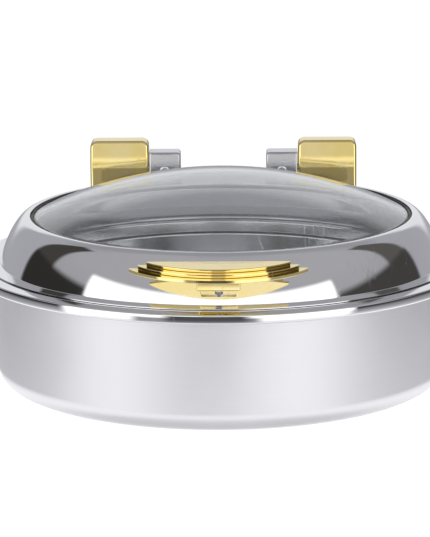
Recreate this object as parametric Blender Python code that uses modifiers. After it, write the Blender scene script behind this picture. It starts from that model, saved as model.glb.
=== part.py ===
"""Round chafing dish food warmer: water bowl, food pan and a hinged lid with a glass dome.

Metres, +Z up. The origin is the centre of the base plate's underside. The grip is at -Y and
the two lid hinges are at +Y. Every turned piece has the same facets, so nested pieces keep an
even gap.
"""

import math

import bmesh
import bpy
from mathutils import Matrix, Vector

# Overall sizes
BOWL_OUTER_R = 0.2000
BOWL_H = 0.1086
LID_WALL_H = 0.0398
GLASS_RISE = 0.0374

# Walls, gaps and facets
SHEET = 0.0010
PAN_SHEET = 0.0008
GAP = 0.0003
RUN_GAP = 0.0006
TURN_STEPS = 48
SMALL_STEPS = 12

# Base plate
BASE_PROUD = 0.0040
PLATE_INSET = 0.0500

# Bowl, rim and food pan
BOWL_FILLET = 0.0180
RIM_OVERHANG = 0.0205
RIM_H = 0.0094
RIM_SEAT_W = 0.0145
RIM_FALL = 0.0010
RIM_CORNER = 0.0020
LEDGE_DROP = 0.0031
LEDGE_WIDTH = 0.0110
LEDGE_INSET = 0.0165
PAN_FLANGE_W = 0.0090
PAN_STEP_DEPTH = 0.0100
PAN_STEP_IN = 0.0030
PAN_DEPTH = 0.0720
PAN_DRAFT = 0.0060
PAN_FILLET = 0.0130

# Lid ring and window
LID_INSET = 0.0031
LID_FLANGE_W = 0.0118
LID_SHOULDER_W = 0.0276
CREST_W = 0.0020
LID_ROUNDNESS = 2.20
LID_CONE_SHARE = 0.50
GLASS_T = 0.0040
SEAL_LIP = 0.0010
SEAL_OVERLAP = 0.0040

# Hinges
HINGE_BEHIND_RIM = 0.0155
HINGE_Z = 0.0360
PIN_R = 0.0040
DAMPER_R = 0.0100
KNUCKLE_INNER_X = 0.0414
KNUCKLE_W = 0.0301
COVER_W = 0.0560
COVER_WALL = 0.0015
COVER_FRONT = 0.0140
COVER_BACK = 0.0140
COVER_ABOVE = 0.0280
COVER_BELOW = 0.0180
KNUCKLE_ABOVE = 0.0170
CREASE_ABOVE = 0.0046
FACE_LEAN = 12.0
KNUCKLE_BELOW = 0.0150
CHEEK_T = 0.0020
BRACKET_BELOW_RIM = 0.0092
BRACKET_ARM_H = 0.0240
ARM_W = 0.0220
ARM_H = 0.0095
PAD_T = 0.0020
PAD_SPAN = (0.0340, 0.1220)
PAD_SCREW_X = (0.0420, 0.0740, 0.1140)
PAD_SCREW_Z = 0.0360
PAD_SCREW_REST = 0.0002
PAD_LOW_Z = 0.0160
PAD_HIGH_Z = 0.0385

# Handle
GRIP_HALF_CHORDS = (0.0593, 0.0664, 0.0735)
GRIP_SAGITTAS = (0.0290, 0.0365, 0.0440)
GRIP_END = 0.0035
GRIP_LAYER_H = 0.0028
GRIP_TOP_Z = 0.0384
GRIP_STANDOFF = 0.0031
POST_HALF_W = 0.0180
POST_H = 0.0140
POST_DEPTH = 0.0120
BACKING_T = 0.0015
HANDLE_SCREW_X = 0.0100
HANDLE_SCREW_Z = 0.0205

# Fasteners: head radius, head height, shank radius
PAN_HEAD = (0.0040, 0.0022, 0.0020)

# Heights and radii worked out from the sizes above
BOWL_Z = BASE_PROUD
RIM_TOP_Z = BOWL_Z + BOWL_H
RIM_OUTER_R = BOWL_OUTER_R + RIM_OVERHANG
RIM_LOW_Z = RIM_TOP_Z - RIM_H
PLATE_R = BOWL_OUTER_R - PLATE_INSET
LEDGE_Z = RIM_TOP_Z - LEDGE_DROP
LEDGE_INNER_R = BOWL_OUTER_R - LEDGE_INSET
PAN_FLANGE_Z = LEDGE_Z + GAP
PAN_FLANGE_R = LEDGE_INNER_R + PAN_FLANGE_W
LID_Z = RIM_TOP_Z + GAP + SHEET
LID_TOP_Z = LID_Z + LID_WALL_H
LID_BASE_R = BOWL_OUTER_R - LID_INSET
LID_FLANGE_R = LID_BASE_R + LID_FLANGE_W
WINDOW_LIP_R = LID_BASE_R - LID_SHOULDER_W
GLASS_EDGE_R = WINDOW_LIP_R - SEAL_LIP - 4 * GAP
GLASS_EDGE_Z = LID_TOP_Z - 0.0022
GLASS_SPHERE_R = (GLASS_EDGE_R**2 + GLASS_RISE**2) / (2 * GLASS_RISE)
PIN_Y = RIM_OUTER_R + HINGE_BEHIND_RIM
PIN_Z = LID_Z + HINGE_Z
COVER_INNER_X = KNUCKLE_INNER_X + KNUCKLE_W + RUN_GAP
GRIP_BACK_Y = LID_BASE_R + GRIP_STANDOFF
POST_FRONT_Y = GRIP_BACK_Y + POST_DEPTH

for old in list(bpy.data.objects):
    bpy.data.objects.remove(old, do_unlink=True)

parts = bpy.data.collections.new("chafing_dish")
cutters = bpy.data.collections.new("cutters")
for collection in (parts, cutters):
    bpy.context.scene.collection.children.link(collection)


def material(name, colour, metallic, roughness, alpha=1.0):
    made = bpy.data.materials.new(name)
    made.use_nodes = True
    shader = made.node_tree.nodes["Principled BSDF"]
    shader.inputs["Base Color"].default_value = (*colour, 1.0)
    shader.inputs["Metallic"].default_value = metallic
    shader.inputs["Roughness"].default_value = roughness
    shader.inputs["Alpha"].default_value = alpha
    return made


def add(name, mesh, look=None, sharp=35.0):
    """A named part, or a cutter where it has no look."""
    made = bpy.data.objects.new(name, mesh)
    if look is None:
        cutters.objects.link(made)
        made.hide_render = True
        made.display_type = "WIRE"
    else:
        parts.objects.link(made)
        mesh.materials.append(material(name, *look))
        mesh.shade_smooth()
        mesh.set_sharp_from_angle(angle=math.radians(sharp))
    return made


def turned(name, profile, look=None, thickness=0.0, closed=False, steps=TURN_STEPS):
    """A profile of (radius, height) points turned round Z; it runs down its outer side."""
    mesh = bpy.data.meshes.new(name)
    count = len(profile)
    edges = [(i, (i + 1) % count) for i in range(count if closed else count - 1)]
    mesh.from_pydata([(r, 0, z) for r, z in profile], edges, [])
    made = add(name, mesh, look)
    screw = made.modifiers.new("turn", "SCREW")
    screw.steps = screw.render_steps = steps
    screw.use_merge_vertices = True
    screw.merge_threshold = 0.00001
    screw.use_smooth_shade = True
    if thickness:
        wall = made.modifiers.new("wall", "SOLIDIFY")
        wall.thickness = thickness
        wall.offset = -1
        wall.use_even_offset = True
    return made


def box(name, low, high, look=None, bevel=0.0, segments=2):
    low, high = Vector(low), Vector(high)
    shape = bmesh.new()
    bmesh.ops.create_cube(shape, size=1.0)
    bmesh.ops.scale(shape, vec=high - low, verts=shape.verts)
    mesh = bpy.data.meshes.new(name)
    shape.to_mesh(mesh)
    shape.free()
    made = add(name, mesh, look)
    made.location = (low + high) / 2
    if bevel:
        rounding = made.modifiers.new("rounding", "BEVEL")
        rounding.width = bevel
        rounding.segments = segments
    return made


def rod(name, start, direction, length, radius, look=None, steps=SMALL_STEPS):
    """A straight cylinder from start along direction."""
    shape = bmesh.new()
    bmesh.ops.create_cone(
        shape, cap_ends=True, segments=steps, radius1=radius, radius2=radius, depth=length
    )
    bmesh.ops.translate(shape, vec=(0, 0, length / 2), verts=shape.verts)
    mesh = bpy.data.meshes.new(name)
    shape.to_mesh(mesh)
    shape.free()
    made = add(name, mesh, look)
    made.matrix_world = placed(start, direction)
    return made


def placed(point, direction):
    """A matrix at point whose Z runs along direction."""
    turn = Vector((0, 0, 1)).rotation_difference(Vector(direction).normalized())
    return Matrix.Translation(point) @ turn.to_matrix().to_4x4()


def outline(name, points, thickness, look=None):
    """A flat outline in XY, extruded along Z to both sides, as a mesh."""
    curve = bpy.data.curves.new(name, "CURVE")
    curve.dimensions = "2D"
    curve.fill_mode = "BOTH"
    curve.extrude = thickness / 2
    spline = curve.splines.new("POLY")
    spline.points.add(len(points) - 1)
    for spot, (x, y) in zip(spline.points, points):
        spot.co = (x, y, 0, 1)
    spline.use_cyclic_u = True
    drawn = bpy.data.objects.new(name, curve)
    cutters.objects.link(drawn)
    bpy.context.view_layer.update()
    seen = drawn.evaluated_get(bpy.context.evaluated_depsgraph_get())
    mesh = bpy.data.meshes.new_from_object(seen)
    bpy.data.objects.remove(drawn)
    bpy.data.curves.remove(curve)
    shape = bmesh.new()
    shape.from_mesh(mesh)
    bmesh.ops.remove_doubles(shape, verts=shape.verts, dist=0.00001)
    bmesh.ops.recalc_face_normals(shape, faces=shape.faces)
    shape.to_mesh(mesh)
    shape.free()
    mesh.name = name
    return add(name, mesh, look)


def slab(name, side, xs, side_view, look=None, bevel=0.0):
    """A side view of (y, z) points, extruded between two distances from the middle plane."""
    made = outline(name, side_view, xs[1] - xs[0], look)
    made.matrix_world = Matrix.Translation((side * (xs[0] + xs[1]) / 2, 0, 0)) @ Matrix(
        ((0, 0, 1, 0), (1, 0, 0, 0), (0, 1, 0, 0), (0, 0, 0, 1))
    )
    if bevel:
        rounding = made.modifiers.new("rounding", "BEVEL")
        rounding.width = bevel
        rounding.segments = 3
    return made


def leaning_face(front, back, low, top):
    """A block's side view: upright below the crease, with its front leaning back above it."""
    crease = PIN_Z + CREASE_ABOVE
    lean = (top - crease) * math.tan(math.radians(FACE_LEAN))
    return [(front, low), (back, low), (back, top), (front + lean, top), (front, crease)]


def boolean(target, tool, operation="DIFFERENCE"):
    step = target.modifiers.new(tool.name, "BOOLEAN")
    step.operation = operation
    step.solver = "EXACT"
    step.object = tool


def arc(centre, radius, start, end, count):
    """Points round centre, angles in degrees from +X towards +Z."""
    angles = [math.radians(start + (end - start) * i / count) for i in range(count + 1)]
    return [(centre[0] + radius * math.cos(a), centre[1] + radius * math.sin(a)) for a in angles]


def mirrored(side, low, high):
    """The box corners of a piece drawn at +X, moved to the side +1 or -1."""
    xs = sorted((side * low[0], side * high[0]))
    return (xs[0], *low[1:]), (xs[1], *high[1:])


BRUSHED = ((0.66, 0.65, 0.67), 1.0, 0.32)
POLISHED = ((0.78, 0.78, 0.80), 1.0, 0.07)
SATIN = ((0.60, 0.60, 0.62), 1.0, 0.22)
GOLD = ((0.86, 0.68, 0.30), 1.0, 0.08)
ALUMINIUM = ((0.80, 0.81, 0.82), 1.0, 0.35)
DARK_RUBBER = ((0.03, 0.03, 0.035), 0.0, 0.6)
BLACK_PLASTIC = ((0.04, 0.04, 0.045), 0.0, 0.45)
GLASS = ((0.85, 0.90, 0.92), 0.0, 0.02, 0.3)

# Base plate: a shallow steel cap holding the aluminium disc against the bowl
plate_wall = BASE_PROUD - GAP
turned(
    "induction_plate",
    [(PLATE_R, plate_wall), (PLATE_R, 0.0008), (PLATE_R - 0.0008, 0), (0, 0)],
    BRUSHED,
    thickness=SHEET,
)
spreader_r = PLATE_R - SHEET - GAP
spreader_low = SHEET + GAP
turned(
    "heat_spreader",
    [(0, plate_wall), (spreader_r, plate_wall), (spreader_r, spreader_low), (0, spreader_low)],
    ALUMINIUM,
)

# Water bowl: straight wall up into the rim and a round bottom corner
turned(
    "water_pan",
    [(BOWL_OUTER_R, RIM_TOP_Z - SHEET - GAP)]
    + arc((BOWL_OUTER_R - BOWL_FILLET, BOWL_Z + BOWL_FILLET), BOWL_FILLET, 0, -90, 4)
    + [(0, BOWL_Z)],
    BRUSHED,
    thickness=SHEET,
)

# Rim: ledge for the food pan, flat seat for the lid, a face that falls to a round corner,
# an upright outer face and a turned-in edge
ledge_outer_r = LEDGE_INNER_R + LEDGE_WIDTH
corner_r = RIM_OUTER_R - RIM_CORNER
turned(
    "rim_ring",
    [(LEDGE_INNER_R, LEDGE_Z), (ledge_outer_r, LEDGE_Z), (ledge_outer_r + 0.0015, RIM_TOP_Z)]
    + [(ledge_outer_r + RIM_SEAT_W, RIM_TOP_Z)]
    + arc((corner_r, RIM_TOP_Z - RIM_FALL - RIM_CORNER), RIM_CORNER, 80, 0, 2)
    + arc((corner_r, RIM_LOW_Z + RIM_CORNER), RIM_CORNER, 0, -80, 2),
    POLISHED,
    thickness=SHEET,
)

# Food pan: flange on the ledge, stacking shoulder, tapered wall and flat floor
pan_neck_r = LEDGE_INNER_R - 0.0015
shoulder_z = PAN_FLANGE_Z - PAN_STEP_DEPTH
pan_floor_z = PAN_FLANGE_Z - PAN_DEPTH
pan_foot_r = pan_neck_r - PAN_STEP_IN - PAN_DRAFT - 0.0010
turned(
    "food_pan",
    [(PAN_FLANGE_R, PAN_FLANGE_Z), (pan_neck_r, PAN_FLANGE_Z), (pan_neck_r - 0.0010, shoulder_z)]
    + [(pan_neck_r - PAN_STEP_IN - 0.0010, shoulder_z - 0.0020)]
    + arc((pan_foot_r - PAN_FILLET, pan_floor_z + PAN_FILLET), PAN_FILLET, 0, -90, 3)
    + [(0, pan_floor_z)],
    SATIN,
    thickness=PAN_SHEET,
)


def glass_point(along, above):
    """A point by the glass edge: along its slope outwards, and square to its outer face."""
    tilt = math.asin(GLASS_EDGE_R / GLASS_SPHERE_R)
    return (
        GLASS_EDGE_R + along * math.cos(tilt) + above * math.sin(tilt),
        GLASS_EDGE_Z - along * math.sin(tilt) + above * math.cos(tilt),
    )


glass_tilt = math.degrees(math.asin(GLASS_EDGE_R / GLASS_SPHERE_R))
glass_centre = (0, GLASS_EDGE_Z + GLASS_RISE - GLASS_SPHERE_R)
turned(
    "lid_glass",
    arc(glass_centre, GLASS_SPHERE_R, 90, 90 - glass_tilt, 7),
    GLASS,
    thickness=GLASS_T,
)

seal_groove = glass_point(GAP, -GLASS_T - GAP)
seal_shelf = glass_point(-SEAL_OVERLAP, -GLASS_T - GAP)
seal_low_z = seal_groove[1] - SEAL_LIP
seal_outer_r = WINDOW_LIP_R - GAP
turned(
    "window_seal",
    [(seal_outer_r, GLASS_EDGE_Z + 0.0010), (seal_outer_r, seal_low_z)]
    + [(seal_shelf[0], seal_low_z), seal_shelf, seal_groove, glass_point(GAP, GAP)]
    + [glass_point(0.0010 - SEAL_OVERLAP, GAP), glass_point(0.0010 - SEAL_OVERLAP, GAP + SEAL_LIP)],
    DARK_RUBBER,
    closed=True,
)

# Lid ring: recess for the seal, rounded window edge, bulging wall and flat flange
crest_r = WINDOW_LIP_R + CREST_W
lid_shelf_z = seal_low_z - GAP


def lid_wall(outset, count=7):
    """The wall's outer curve from its crest to its foot, moved outwards by outset."""
    width, height = LID_BASE_R - crest_r, LID_WALL_H
    bulge = 1 - LID_CONE_SHARE
    curve = []
    for i in range(count + 1):
        turn = math.radians(90 - 86 * i / count)
        power = 2 / LID_ROUNDNESS
        c, s = max(0.0, math.cos(turn)) ** power, math.sin(turn) ** power
        steep = (s / c) ** (LID_ROUNDNESS - 1) if c > 1e-9 else 1e9
        across, up = height, width * (bulge * steep + LID_CONE_SHARE)
        size = math.hypot(across, up)
        radius = crest_r + width * (bulge * c + LID_CONE_SHARE * (1 - s))
        curve.append(
            (
                radius + outset * across / size,
                LID_Z + height * s + outset * up / size,
            )
        )
    return curve


lid_outline = (
    [(seal_shelf[0], lid_shelf_z), (WINDOW_LIP_R, lid_shelf_z), (WINDOW_LIP_R, LID_TOP_Z - 0.0018)]
    + [(WINDOW_LIP_R + 0.0006, LID_TOP_Z - 0.0006)]
    + lid_wall(0)
    + [(LID_BASE_R + 0.0004, LID_Z), (LID_FLANGE_R, LID_Z)]
)
lid_ring = turned("lid_ring", lid_outline, POLISHED, thickness=SHEET)


def wall_spot(height):
    """Radius and outward slope (across, up) of the lid wall's outer face, height above LID_Z."""
    curve = lid_wall(0, 60)
    for upper, lower in zip(curve, curve[1:]):
        if lower[1] <= LID_Z + height <= upper[1]:
            share = (upper[1] - LID_Z - height) / (upper[1] - lower[1])
            run = Vector((lower[0] - upper[0], lower[1] - upper[1])).normalized()
            return upper[0] + share * (lower[0] - upper[0]), (-run[1], run[0])
    raise ValueError("that height is not on the lid wall")


def wall_frame(x, height, rear):
    """A point of the lid wall and the outward direction there, at the rear (+1) or front (-1)."""
    radius, (across, up) = wall_spot(height)
    y = rear * math.sqrt(radius**2 - x**2)
    return Vector((x, y, LID_Z + height)), Vector((across * x / radius, across * y / radius, up))


def fastener(name, point, direction, length, look=SATIN, sizes=PAN_HEAD):
    """A round-headed screw whose head sits at point and faces direction."""
    head_r, head_h, shank_r = sizes
    made = turned(
        name,
        [(0, head_h), (0.6 * head_r, 0.85 * head_h), (head_r, 0.3 * head_h), (head_r, 0)]
        + [(shank_r, 0), (shank_r, -length), (0, -length)],
        look,
        steps=SMALL_STEPS,
    )
    made.matrix_world = placed(point, direction)
    return made


def wall_band(name, inner, outer, low_z, high_z, span, rear, look):
    """A curved plate that follows the lid wall between two outsets, trimmed to a box."""
    band = turned(name, lid_wall(outer) + lid_wall(inner)[::-1], look, closed=True)
    ys = (0.05, 0.30) if rear > 0 else (-0.30, -0.05)
    trim = box(name + "_trim", (span[0], ys[0], low_z), (span[1], ys[1], high_z))
    boolean(band, trim, "INTERSECT")
    return band


def solid_lid(name, outset):
    """The lid wall's outer form as a filled body, to fit things against it."""
    curve = lid_wall(outset)
    foot = (curve[-1][0], LID_Z - 0.02)
    return turned(name, [(0, curve[0][1])] + curve + [foot, (0, foot[1])])


# The lid's pieces stand this far off the wall, which is flat between its facets' corners
FACET_SAG = LID_BASE_R * (1 - math.cos(math.pi / TURN_STEPS))
wall_clear = solid_lid("lid_form", GAP)
pad_middle = solid_lid("pad_form", GAP + PAD_T / 2)
bowl_clear = rod("bowl_form", (0, 0, 0), (0, 0, 1), RIM_TOP_Z, BOWL_OUTER_R + GAP, steps=TURN_STEPS)

# Hinges, right (+X) and left (-X)
for side, word in ((1, "right"), (-1, "left")):
    axis_x = Vector((side, 0, 0))
    cover_outer_x = COVER_INNER_X + COVER_W
    pin_start = Vector((side * (KNUCKLE_INNER_X + 0.0010), PIN_Y, PIN_Z))
    pin_end_x = cover_outer_x - COVER_WALL - 2 * GAP
    bore = rod(
        "bore_" + word, pin_start - 0.01 * axis_x, axis_x, 0.12, PIN_R + GAP, steps=SMALL_STEPS
    )
    rod("hinge_pin_" + word, pin_start, axis_x, pin_end_x - KNUCKLE_INNER_X - 0.0010, PIN_R, SATIN)

    # Gold cover: a rounded block with a leaning face, open below
    cover_front, cover_back = PIN_Y - COVER_FRONT, PIN_Y + COVER_BACK
    cover_low, cover_top = PIN_Z - COVER_BELOW, PIN_Z + COVER_ABOVE
    cover = slab(
        "hinge_cover_" + word,
        side,
        (COVER_INNER_X, cover_outer_x),
        leaning_face(cover_front, cover_back, cover_low, cover_top),
        GOLD,
        0.0032,
    )
    hollow = slab(
        "cover_hollow_" + word,
        side,
        (COVER_INNER_X + COVER_WALL, cover_outer_x - COVER_WALL),
        leaning_face(
            cover_front + COVER_WALL,
            cover_back - COVER_WALL,
            cover_low - 0.01,
            cover_top - COVER_WALL,
        ),
    )
    boolean(cover, hollow)
    pin_notch = rod(
        "cover_pin_hole_" + word,
        (side * (COVER_INNER_X - 0.005), PIN_Y, PIN_Z),
        axis_x,
        0.010,
        PIN_R + RUN_GAP,
    )
    boolean(cover, pin_notch)

    # Bracket: a channel with two cheeks, from under the rim up into the cover
    cheek_inner_x = COVER_INNER_X + COVER_WALL + GAP
    cheek_outer_x = cover_outer_x - COVER_WALL - GAP
    rear_y = PIN_Y + COVER_BACK - COVER_WALL - GAP
    front_y = PIN_Y - DAMPER_R
    arm_top = RIM_LOW_Z - BRACKET_BELOW_RIM
    arm_foot = arm_top - BRACKET_ARM_H
    cheek_top = PIN_Z + DAMPER_R
    inboard_y = math.sqrt(BOWL_OUTER_R**2 - cheek_outer_x**2) - 0.02
    side_view = [(inboard_y, arm_foot), (rear_y, arm_foot), (rear_y, cheek_top)]
    side_view += [(front_y, cheek_top), (front_y, arm_top), (inboard_y, arm_top)]
    bracket = slab(
        "hinge_bracket_" + word, side, (cheek_inner_x, cheek_outer_x), side_view, SATIN
    )
    channel = box(
        "channel_" + word,
        *mirrored(
            side,
            (cheek_inner_x + CHEEK_T, inboard_y - 0.01, arm_foot + CHEEK_T),
            (cheek_outer_x - CHEEK_T, rear_y - CHEEK_T, cheek_top + 0.01),
        ),
    )
    for tool in (bowl_clear, channel, bore):
        boolean(bracket, tool)

    damper = rod(
        "hinge_damper_" + word,
        (side * (cheek_inner_x + CHEEK_T + GAP), PIN_Y, PIN_Z),
        axis_x,
        cheek_outer_x - cheek_inner_x - 2 * (CHEEK_T + GAP),
        DAMPER_R - CHEEK_T,
        BLACK_PLASTIC,
        steps=24,
    )
    boolean(damper, bore)

    # Cover screw, from behind into the bracket's back web
    head_spot = Vector(
        (side * (COVER_INNER_X + COVER_W / 2), PIN_Y + COVER_BACK + GAP, PIN_Z - DAMPER_R - 0.0030)
    )
    fastener("cover_screw_" + word, head_spot, (0, 1, 0), 0.0055, GOLD, (0.0032, 0.0015, 0.0016))
    screw_hole = rod("cover_screw_hole_" + word, head_spot, (0, -1, 0), 0.0080, 0.0016 + GAP)
    boolean(cover, screw_hole)
    boolean(bracket, screw_hole)

    # Lid arm: knuckle, bar and curved pad in one piece
    arm = slab(
        "lid_arm_" + word,
        side,
        (KNUCKLE_INNER_X, KNUCKLE_INNER_X + KNUCKLE_W),
        leaning_face(
            PIN_Y - COVER_FRONT,
            PIN_Y + COVER_BACK - 0.002,
            PIN_Z - KNUCKLE_BELOW,
            PIN_Z + KNUCKLE_ABOVE,
        ),
        SATIN,
        0.0026,
    )
    middle_x = KNUCKLE_INNER_X + KNUCKLE_W / 2
    bar = box(
        "arm_bar_" + word,
        *mirrored(
            side,
            (middle_x - ARM_W / 2, 0.15, PIN_Z - KNUCKLE_BELOW + 0.0010),
            (
                middle_x + ARM_W / 2,
                PIN_Y - COVER_FRONT + 0.0060,
                PIN_Z - KNUCKLE_BELOW + ARM_H,
            ),
        ),
    )
    boolean(bar, pad_middle)
    span = tuple(sorted((side * PAD_SPAN[0], side * PAD_SPAN[1])))
    pad = wall_band(
        "arm_pad_" + word, GAP, GAP + PAD_T, LID_Z + PAD_LOW_Z, LID_Z + PAD_HIGH_Z, span, 1, None
    )
    boolean(arm, bar, "UNION")
    boolean(arm, pad, "UNION")
    boolean(arm, bore)

    set_spot = Vector((side * middle_x, PIN_Y - COVER_FRONT - GAP, PIN_Z))
    set_length = COVER_FRONT - PIN_R - 2 * GAP
    fastener("pin_screw_" + word, set_spot, (0, -1, 0), set_length, SATIN, (0.0046, 0.0012, 0.0020))
    set_hole = rod("pin_screw_hole_" + word, set_spot, (0, 1, 0), COVER_FRONT, 0.0020 + GAP)
    boolean(arm, set_hole)

    for number, x in enumerate(PAD_SCREW_X, 1):
        spot, outward = wall_frame(side * x, PAD_SCREW_Z, 1)
        under_head = SHEET + FACET_SAG + PAD_SCREW_REST + GAP
        head_at = spot - outward * under_head
        length = under_head + GAP + PAD_T
        fastener(f"lid_arm_screw_{word}_{number}", head_at, -outward, length)
        hole = rod(
            f"arm_screw_hole_{word}_{number}", head_at, outward, length + 0.004, PAN_HEAD[2] + GAP
        )
        boolean(arm, hole)
        boolean(lid_ring, hole)


# Handle: three stacked crescents on a post
def crescent(half_chord, sagitta):
    """Straight back edge, short square ends and round front, seen from above."""
    radius = (half_chord**2 + sagitta**2) / (2 * sagitta)
    reach = math.degrees(math.asin(half_chord / radius))
    centre = (0, -GRIP_BACK_Y - GRIP_END - sagitta + radius)
    back = [(half_chord, -GRIP_BACK_Y), (-half_chord, -GRIP_BACK_Y)]
    return arc(centre, radius, -90 - reach, -90 + reach, 14) + back


grip_top_z = LID_Z + GRIP_TOP_Z
grip_layers = []
for number, (half_chord, sagitta) in enumerate(zip(GRIP_HALF_CHORDS, GRIP_SAGITTAS)):
    top = grip_top_z - number * GRIP_LAYER_H
    depth = GRIP_LAYER_H + (0.0005 if number else 0.0)
    name = "handle_grip" if not grip_layers else f"grip_layer_{number}"
    layer = outline(name, crescent(half_chord, sagitta), depth, None if grip_layers else GOLD)
    layer.location = (0, 0, top - GRIP_LAYER_H + depth / 2)
    grip_layers.append(layer)
for layer in grip_layers[1:]:
    boolean(grip_layers[0], layer, "UNION")

grip_low_z = grip_top_z - len(GRIP_HALF_CHORDS) * GRIP_LAYER_H
post_top_z = grip_low_z - GAP
post = box(
    "handle_post",
    (-POST_HALF_W, -POST_FRONT_Y, post_top_z - POST_H),
    (POST_HALF_W, -0.15, post_top_z),
    look=GOLD,
)
boolean(post, wall_clear)
backing = wall_band(
    "handle_backing_plate",
    -SHEET - GAP - BACKING_T,
    -SHEET - GAP,
    LID_Z + HANDLE_SCREW_Z - 0.0065,
    LID_Z + HANDLE_SCREW_Z + 0.0065,
    (-HANDLE_SCREW_X - 0.0065, HANDLE_SCREW_X + 0.0065),
    -1,
    SATIN,
)
for side, word in ((1, "right"), (-1, "left")):
    spot, outward = wall_frame(side * HANDLE_SCREW_X, HANDLE_SCREW_Z, -1)
    head_at = spot - outward * (SHEET + BACKING_T + 2 * GAP + FACET_SAG)
    length = SHEET + BACKING_T + 3 * GAP + FACET_SAG + 0.0070
    fastener("handle_screw_" + word, head_at, -outward, length)
    hole = rod("handle_screw_hole_" + word, head_at, outward, length + GAP, PAN_HEAD[2] + GAP)
    for target in (backing, lid_ring, post):
        boolean(target, hole)

grip_screw_at = Vector((0, -POST_FRONT_Y + 0.0070, post_top_z - POST_H - GAP))
grip_screw_length = POST_H + 2 * GAP + 2 * GRIP_LAYER_H
fastener("grip_screw", grip_screw_at, (0, 0, -1), grip_screw_length)
grip_hole = rod(
    "grip_screw_hole", grip_screw_at, (0, 0, 1), grip_screw_length + GAP, PAN_HEAD[2] + GAP
)
boolean(post, grip_hole)
boolean(grip_layers[0], grip_hole)

# Everything on the lid hangs from an empty on the hinge axis
lid_hinge = bpy.data.objects.new("lid_hinge", None)
parts.objects.link(lid_hinge)
lid_hinge.location = (0, PIN_Y, PIN_Z)
bpy.context.view_layer.update()
LID_PIECES = ("lid_", "window_", "hinge_pin", "pin_screw", "handle_", "grip_")
for piece in parts.objects:
    if piece.name.startswith(LID_PIECES) and piece is not lid_hinge:
        piece.parent = lid_hinge
        piece.matrix_parent_inverse = lid_hinge.matrix_world.inverted()
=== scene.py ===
import math

import bmesh
import bpy
from mathutils import Matrix, Vector


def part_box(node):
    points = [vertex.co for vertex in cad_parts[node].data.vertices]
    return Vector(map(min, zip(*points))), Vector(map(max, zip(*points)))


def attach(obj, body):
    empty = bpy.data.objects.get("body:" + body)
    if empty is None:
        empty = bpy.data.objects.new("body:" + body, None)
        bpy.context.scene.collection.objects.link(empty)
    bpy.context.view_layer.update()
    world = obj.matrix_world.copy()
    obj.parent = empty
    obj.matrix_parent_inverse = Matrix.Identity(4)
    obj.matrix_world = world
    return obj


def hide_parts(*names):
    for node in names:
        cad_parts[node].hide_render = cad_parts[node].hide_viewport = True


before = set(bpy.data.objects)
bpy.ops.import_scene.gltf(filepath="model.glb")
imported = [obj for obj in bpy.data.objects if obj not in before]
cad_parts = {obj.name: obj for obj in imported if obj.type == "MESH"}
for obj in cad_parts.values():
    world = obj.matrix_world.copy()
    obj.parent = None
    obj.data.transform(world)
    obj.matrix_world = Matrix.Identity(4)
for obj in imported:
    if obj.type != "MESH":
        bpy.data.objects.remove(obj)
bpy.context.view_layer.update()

scene = bpy.context.scene
scene.view_settings.view_transform = "Standard"

# ---------------------------------------------------------------------------------------------
# Camera: a long lens about two and a half metres in front, a little above the lid.
# It looks down at the dish by twelve degrees, and leans by less than half a degree.
# ---------------------------------------------------------------------------------------------
camera_place = Vector((0.0297, -2.5626, 0.6670))
look_down = math.radians(12.43)
look_left = math.radians(0.79)
lean = math.radians(0.41)

forward = Vector((
    -math.sin(look_left) * math.cos(look_down),
    math.cos(look_left) * math.cos(look_down),
    -math.sin(look_down),
))
level_right = Vector((math.cos(look_left), math.sin(look_left), 0))
level_up = level_right.cross(forward)
camera_right = level_right * math.cos(lean) - level_up * math.sin(lean)
camera_up = level_up * math.cos(lean) + level_right * math.sin(lean)

camera = bpy.data.objects.new("camera", bpy.data.cameras.new("camera"))
camera.data.lens = 197.15
camera.data.sensor_width = 36.0
camera.data.clip_start = 0.05
camera.data.clip_end = 50.0
camera.matrix_world = Matrix.Translation(camera_place) @ Matrix(
    (camera_right, camera_up, -forward)
).transposed().to_4x4()
scene.collection.objects.link(camera)
scene.camera = camera


# ---------------------------------------------------------------------------------------------
# Studio: a pale room with one wide overhead diffuser, low white cards in front and dark
# flags at both sides, all worked out from the direction that a ray of light comes from.
# ---------------------------------------------------------------------------------------------
def new_group(name, numbers=(), colours=(), outputs=()):
    """An empty shader node group with named sockets, and its two end nodes."""
    group = bpy.data.node_groups.new(name, "ShaderNodeTree")
    for label, value in numbers:
        socket = group.interface.new_socket(label, in_out="INPUT", socket_type="NodeSocketFloat")
        socket.default_value = value
    for label, value in colours:
        socket = group.interface.new_socket(label, in_out="INPUT", socket_type="NodeSocketColor")
        socket.default_value = (*value, 1)
    for label, kind in outputs:
        group.interface.new_socket(label, in_out="OUTPUT", socket_type=kind)
    return group, group.nodes.new("NodeGroupInput"), group.nodes.new("NodeGroupOutput")


def join(tree, source, target):
    """Link a socket to a socket, or set the socket where the source is a plain value."""
    if isinstance(source, bpy.types.NodeSocket):
        tree.links.new(source, target)
    else:
        target.default_value = source


def maths(tree, operation, *values, clamp=False):
    node = tree.nodes.new("ShaderNodeMath")
    node.operation = operation
    node.use_clamp = clamp
    for value, socket in zip(values, node.inputs):
        join(tree, value, socket)
    return node.outputs[0]


def vector_maths(tree, operation, *values):
    node = tree.nodes.new("ShaderNodeVectorMath")
    node.operation = operation
    for value, socket in zip(values, node.inputs):
        join(tree, value, socket)
    return node.outputs[0]


def ramp(tree, value, low, high, new_low=0.0, new_high=1.0):
    """A soft step: new_low up to low, new_high from high on."""
    node = tree.nodes.new("ShaderNodeMapRange")
    node.interpolation_type = "SMOOTHSTEP"
    for source, label in zip((value, low, high, new_low, new_high),
                             ("Value", "From Min", "From Max", "To Min", "To Max")):
        join(tree, source, node.inputs[label])
    return node.outputs["Result"]


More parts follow.
